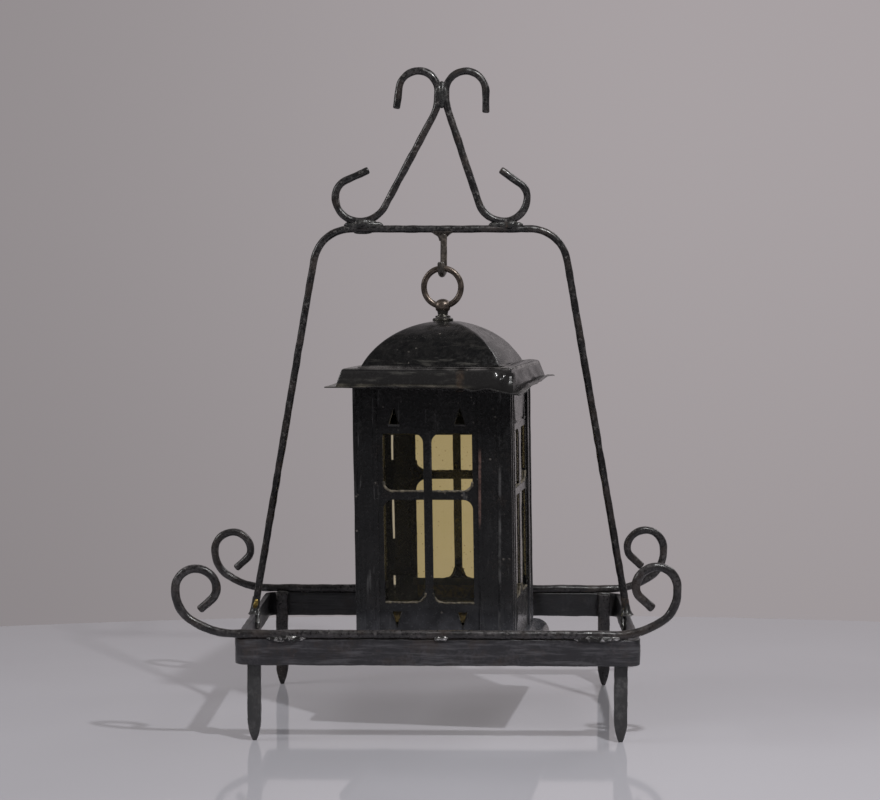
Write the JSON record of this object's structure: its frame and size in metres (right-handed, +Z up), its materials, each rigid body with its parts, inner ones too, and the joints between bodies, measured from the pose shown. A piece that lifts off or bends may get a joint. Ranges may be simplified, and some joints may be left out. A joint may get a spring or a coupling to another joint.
{
  "type": "grave lantern",
  "caption": "Square sheet-metal lantern with amber panes and a domed roof, hung by a ring from the hook of a scrolled wrought-iron stand on pointed legs.",
  "frame": {"origin": "on the ground under the middle of the whole outline, which the rear rail sets", "axes": "+Z up; -Y is the front, where the hook opens; +X is to the right seen from the front"},
  "size_m": [0.393, 0.2224, 0.5175],
  "materials": {
    "black_iron": "worn black paint on forged iron, semi-gloss, rust at the welds",
    "black_sheet": "worn black paint on folded sheet steel, semi-gloss",
    "bronze": "dark tarnished bronze with rubbed highlights",
    "amber_glass": "clear amber glass",
    "tinned_sheet": "dull tinned sheet steel"
  },
  "bodies": {
    "stand": {"base_hoop": "black_iron", "leg_front_left": "black_iron", "leg_front_right": "black_iron", "leg_rear_left": "black_iron", "leg_rear_right": "black_iron", "rail_front": "black_iron", "rail_rear": "black_iron", "handle_arch": "black_iron", "crest_scroll_left": "black_iron", "crest_scroll_right": "black_iron", "lantern_hook": "black_iron"},
    "ring": {"suspension_ring": "bronze"},
    "lantern": {"roof_eye": "bronze", "eye_washer": "bronze", "eye_nut": "bronze", "roof_dome": "black_sheet", "roof_brim": "black_sheet", "post_front_right": "black_sheet", "post_rear_right": "black_sheet", "post_rear_left": "black_sheet", "post_front_left": "black_sheet", "panel_front": "black_sheet", "panel_right": "black_sheet", "panel_rear": "black_sheet", "panel_left": "black_sheet", "pane_front": "amber_glass", "pane_right": "amber_glass", "pane_rear": "amber_glass", "pane_left": "amber_glass", "pane_sill_front": "tinned_sheet", "pane_sill_right": "tinned_sheet", "pane_sill_rear": "tinned_sheet", "pane_sill_left": "tinned_sheet", "pane_cap_front": "tinned_sheet", "pane_cap_right": "tinned_sheet", "pane_cap_rear": "tinned_sheet", "pane_cap_left": "tinned_sheet"},
    "base": {"base_tray": "black_sheet", "base_collar": "tinned_sheet", "candle_cup": "tinned_sheet", "cup_rivet": "tinned_sheet"}
  },
  "joints": [
    {"name": "ring_swing", "type": "hinge", "parent": "stand", "child": "ring", "pos_m": [0.0054, 0, 0.35285], "axis": [0.1478, 0.989, 0], "range_deg": [-8, 8]},
    {"name": "lantern_swing", "type": "hinge", "parent": "ring", "child": "lantern", "pos_m": [0.00579, -0.00006, 0.32758], "axis": [0.9889, -0.1478, 0.0157], "range_deg": [-2.5, 2.5]},
    {"name": "base_pull", "type": "slide", "parent": "lantern", "child": "base", "axis": [0.0155, -0.0023, -0.9999], "range_m": [0, 0.038]}
  ]
}
